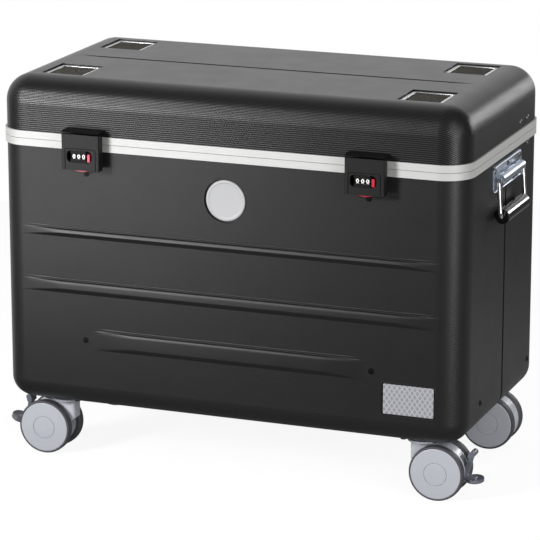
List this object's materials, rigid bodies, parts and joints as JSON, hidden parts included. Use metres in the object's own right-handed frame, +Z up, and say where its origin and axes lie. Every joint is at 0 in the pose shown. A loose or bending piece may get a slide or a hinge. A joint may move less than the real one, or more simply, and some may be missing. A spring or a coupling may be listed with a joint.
{
  "type": "laptop charging trolley",
  "caption": "Wheeled hard case that stores and charges laptops: hinged vented lid, aluminium rim, combination latches, bail handles on the ends, swivel casters, slotted rack inside.",
  "frame": {"origin": "on the floor, in the middle of the overall width and depth", "axes": "+X to the right as seen from the front, the front faces -Y, +Z up"},
  "size_m": [0.6956, 0.3772, 0.5335],
  "materials": {
    "shell_abs": "fine crosshatch grain",
    "frame_alu": "satin anodised",
    "plated_steel": "zinc plated",
    "bright_steel": "bright",
    "black_plastic": "satin",
    "gloss_black": "gloss",
    "red_plastic": "satin",
    "wheel_grey": "satin",
    "pedal_grey": "satin",
    "gasket_rubber": "matt",
    "silver_trim": "satin",
    "mesh_metal": "woven",
    "board": "matt",
    "divider_grey": "matt",
    "housing_grey": "powder coated"
  },
  "bodies": {
    "case": {"lower_shell": "shell_abs", "lower_frame": "frame_alu", "frame_gasket": "gasket_rubber", "floor_plate": "board", "hinge_leaf_lower": "plated_steel", "latch_strikers": "black_plastic", "handle_plates": "plated_steel", "caster_plates": "plated_steel", "steel_fasteners": "bright_steel", "black_screws": "black_plastic", "badge_disc": "silver_trim", "label_plate": "silver_trim", "divider_rack": "board", "slot_dividers": "divider_grey", "charger_housing": "housing_grey", "lead_gland_strip": "black_plastic", "power_supply": "silver_trim", "mains_inlet": "black_plastic", "terminal_cover": "black_plastic"},
    "lid": {"lid_shell": "shell_abs", "upper_frame": "frame_alu", "hinge_leaf_upper": "plated_steel", "latch_brackets": "black_plastic", "vent_frames": "silver_trim", "vent_meshes": "mesh_metal", "lid_rivets": "bright_steel"},
    "stay_arm_left": {"stay_arm_left": "plated_steel"},
    "stay_link_left": {"stay_link_left": "plated_steel"},
    "stay_arm_right": {"stay_arm_right": "plated_steel"},
    "stay_link_right": {"stay_link_right": "plated_steel"},
    "latch_flap_left": {"latch_flap_left": "black_plastic"},
    "dial_left_1": {"dial_left_1": "gloss_black"},
    "dial_left_2": {"dial_left_2": "gloss_black"},
    "dial_left_3": {"dial_left_3": "gloss_black"},
    "release_slide_left": {"release_slide_left": "red_plastic"},
    "latch_flap_right": {"latch_flap_right": "black_plastic"},
    "dial_right_1": {"dial_right_1": "gloss_black"},
    "dial_right_2": {"dial_right_2": "gloss_black"},
    "dial_right_3": {"dial_right_3": "gloss_black"},
    "release_slide_right": {"release_slide_right": "red_plastic"},
    "handle_left": {"handle_bail_left": "bright_steel", "handle_grip_left": "gloss_black"},
    "handle_right": {"handle_bail_right": "bright_steel", "handle_grip_right": "gloss_black"},
    "caster_hood_front_left": {"caster_hood_front_left": "wheel_grey"},
    "wheel_front_left_front": {"wheel_front_left_front": "wheel_grey"},
    "wheel_front_left_rear": {"wheel_front_left_rear": "wheel_grey"},
    "brake_pedal_front_left": {"brake_pedal_front_left": "pedal_grey"},
    "caster_hood_front_right": {"caster_hood_front_right": "wheel_grey"},
    "wheel_front_right_front": {"wheel_front_right_front": "wheel_grey"},
    "wheel_front_right_rear": {"wheel_front_right_rear": "wheel_grey"},
    "brake_pedal_front_right": {"brake_pedal_front_right": "pedal_grey"},
    "caster_hood_rear_left": {"caster_hood_rear_left": "wheel_grey"},
    "wheel_rear_left_front": {"wheel_rear_left_front": "wheel_grey"},
    "wheel_rear_left_rear": {"wheel_rear_left_rear": "wheel_grey"},
    "caster_hood_rear_right": {"caster_hood_rear_right": "wheel_grey"},
    "wheel_rear_right_front": {"wheel_rear_right_front": "wheel_grey"},
    "wheel_rear_right_rear": {"wheel_rear_right_rear": "wheel_grey"},
    "rocker_switch": {"rocker_switch": "gloss_black"}
  },
  "joints": [
    {"name": "lid_hinge", "type": "hinge", "parent": "case", "child": "lid", "pos_m": [0, 0.18465, 0.452], "axis": [-1, 0, 0], "range_deg": [0, 95]},
    {"name": "stay_arm_left_pivot", "type": "hinge", "parent": "case", "child": "stay_arm_left", "pos_m": [-0.31615, 0.11235, 0.437], "axis": [-1, 0, 0], "range_deg": [0, 154]},
    {"name": "stay_link_left_pivot", "type": "hinge", "parent": "lid", "child": "stay_link_left", "pos_m": [-0.31945, 0.07635, 0.4715], "axis": [-1, 0, 0], "range_deg": [-77, 0]},
    {"name": "stay_arm_right_pivot", "type": "hinge", "parent": "case", "child": "stay_arm_right", "pos_m": [0.31615, 0.11235, 0.437], "axis": [-1, 0, 0], "range_deg": [0, 154]},
    {"name": "stay_link_right_pivot", "type": "hinge", "parent": "lid", "child": "stay_link_right", "pos_m": [0.31945, 0.07635, 0.4715], "axis": [-1, 0, 0], "range_deg": [-77, 0]},
    {"name": "latch_flap_left_hinge", "type": "hinge", "parent": "lid", "child": "latch_flap_left", "pos_m": [-0.1985, -0.18265, 0.4605], "axis": [-1, 0, 0], "range_deg": [0, 90]},
    {"name": "dial_left_1_spin", "type": "hinge", "parent": "latch_flap_left", "child": "dial_left_1", "pos_m": [-0.2076, -0.18035, 0.437], "axis": [1, 0, 0], "continuous": true},
    {"name": "dial_left_2_spin", "type": "hinge", "parent": "latch_flap_left", "child": "dial_left_2", "pos_m": [-0.2007, -0.18035, 0.437], "axis": [1, 0, 0], "continuous": true},
    {"name": "dial_left_3_spin", "type": "hinge", "parent": "latch_flap_left", "child": "dial_left_3", "pos_m": [-0.1938, -0.18035, 0.437], "axis": [1, 0, 0], "continuous": true},
    {"name": "release_slide_left_travel", "type": "slide", "parent": "latch_flap_left", "child": "release_slide_left", "axis": [0, 0, 1], "range_m": [0, 0.003], "stiffness_N_per_m": 150},
    {"name": "latch_flap_right_hinge", "type": "hinge", "parent": "lid", "child": "latch_flap_right", "pos_m": [0.1985, -0.18265, 0.4605], "axis": [-1, 0, 0], "range_deg": [0, 90]},
    {"name": "dial_right_1_spin", "type": "hinge", "parent": "latch_flap_right", "child": "dial_right_1", "pos_m": [0.1894, -0.18035, 0.437], "axis": [1, 0, 0], "continuous": true},
    {"name": "dial_right_2_spin", "type": "hinge", "parent": "latch_flap_right", "child": "dial_right_2", "pos_m": [0.1963, -0.18035, 0.437], "axis": [1, 0, 0], "continuous": true},
    {"name": "dial_right_3_spin", "type": "hinge", "parent": "latch_flap_right", "child": "dial_right_3", "pos_m": [0.2032, -0.18035, 0.437], "axis": [1, 0, 0], "continuous": true},
    {"name": "release_slide_right_travel", "type": "slide", "parent": "latch_flap_right", "child": "release_slide_right", "axis": [0, 0, 1], "range_m": [0, 0.003], "stiffness_N_per_m": 150},
    {"name": "handle_left_hinge", "type": "hinge", "parent": "case", "child": "handle_left", "pos_m": [-0.3343, 0.01235, 0.4175], "axis": [0, 1, 0], "range_deg": [0, 90]},
    {"name": "handle_right_hinge", "type": "hinge", "parent": "case", "child": "handle_right", "pos_m": [0.3343, 0.01235, 0.4175], "axis": [0, -1, 0], "range_deg": [0, 90]},
    {"name": "caster_front_left_swivel", "type": "hinge", "parent": "case", "child": "caster_hood_front_left", "pos_m": [-0.258, -0.11225, 0.0815], "axis": [0, 0, 1], "continuous": true},
    {"name": "wheel_front_left_front_spin", "type": "hinge", "parent": "caster_hood_front_left", "child": "wheel_front_left_front", "pos_m": [-0.283, -0.1315, 0.0375], "axis": [0, 1, 0], "continuous": true},
    {"name": "wheel_front_left_rear_spin", "type": "hinge", "parent": "caster_hood_front_left", "child": "wheel_front_left_rear", "pos_m": [-0.283, -0.093, 0.0375], "axis": [0, 1, 0], "continuous": true},
    {"name": "brake_pedal_front_left_rock", "type": "hinge", "parent": "caster_hood_front_left", "child": "brake_pedal_front_left", "pos_m": [-0.303, -0.11225, 0.0355], "axis": [0, -1, 0], "range_deg": [0, 24]},
    {"name": "caster_front_right_swivel", "type": "hinge", "parent": "case", "child": "caster_hood_front_right", "pos_m": [0.258, -0.11225, 0.0815], "axis": [0, 0, 1], "continuous": true},
    {"name": "wheel_front_right_front_spin", "type": "hinge", "parent": "caster_hood_front_right", "child": "wheel_front_right_front", "pos_m": [0.283, -0.1315, 0.0375], "axis": [0, 1, 0], "continuous": true},
    {"name": "wheel_front_right_rear_spin", "type": "hinge", "parent": "caster_hood_front_right", "child": "wheel_front_right_rear", "pos_m": [0.283, -0.093, 0.0375], "axis": [0, 1, 0], "continuous": true},
    {"name": "brake_pedal_front_right_rock", "type": "hinge", "parent": "caster_hood_front_right", "child": "brake_pedal_front_right", "pos_m": [0.303, -0.11225, 0.0355], "axis": [0, -1, 0], "range_deg": [0, 24]},
    {"name": "caster_rear_left_swivel", "type": "hinge", "parent": "case", "child": "caster_hood_rear_left", "pos_m": [-0.258, 0.12095, 0.0815], "axis": [0, 0, 1], "continuous": true},
    {"name": "wheel_rear_left_front_spin", "type": "hinge", "parent": "caster_hood_rear_left", "child": "wheel_rear_left_front", "pos_m": [-0.283, 0.1017, 0.0375], "axis": [0, 1, 0], "continuous": true},
    {"name": "wheel_rear_left_rear_spin", "type": "hinge", "parent": "caster_hood_rear_left", "child": "wheel_rear_left_rear", "pos_m": [-0.283, 0.1402, 0.0375], "axis": [0, 1, 0], "continuous": true},
    {"name": "caster_rear_right_swivel", "type": "hinge", "parent": "case", "child": "caster_hood_rear_right", "pos_m": [0.258, 0.12095, 0.0815], "axis": [0, 0, 1], "continuous": true},
    {"name": "wheel_rear_right_front_spin", "type": "hinge", "parent": "caster_hood_rear_right", "child": "wheel_rear_right_front", "pos_m": [0.283, 0.1017, 0.0375], "axis": [0, 1, 0], "continuous": true},
    {"name": "wheel_rear_right_rear_spin", "type": "hinge", "parent": "caster_hood_rear_right", "child": "wheel_rear_right_rear", "pos_m": [0.283, 0.1402, 0.0375], "axis": [0, 1, 0], "continuous": true},
    {"name": "rocker_switch_rock", "type": "hinge", "parent": "case", "child": "rocker_switch", "pos_m": [0.2115, 0.17435, 0.1795], "axis": [1, 0, 0], "range_deg": [0, 14]}
  ],
  "couplings": [
    {"joint": "stay_arm_left_pivot", "follows": "lid_hinge", "ratio": 1.6078},
    {"joint": "stay_link_left_pivot", "follows": "lid_hinge", "ratio": -0.79578},
    {"joint": "stay_arm_right_pivot", "follows": "lid_hinge", "ratio": 1.6078},
    {"joint": "stay_link_right_pivot", "follows": "lid_hinge", "ratio": -0.79578}
  ]
}
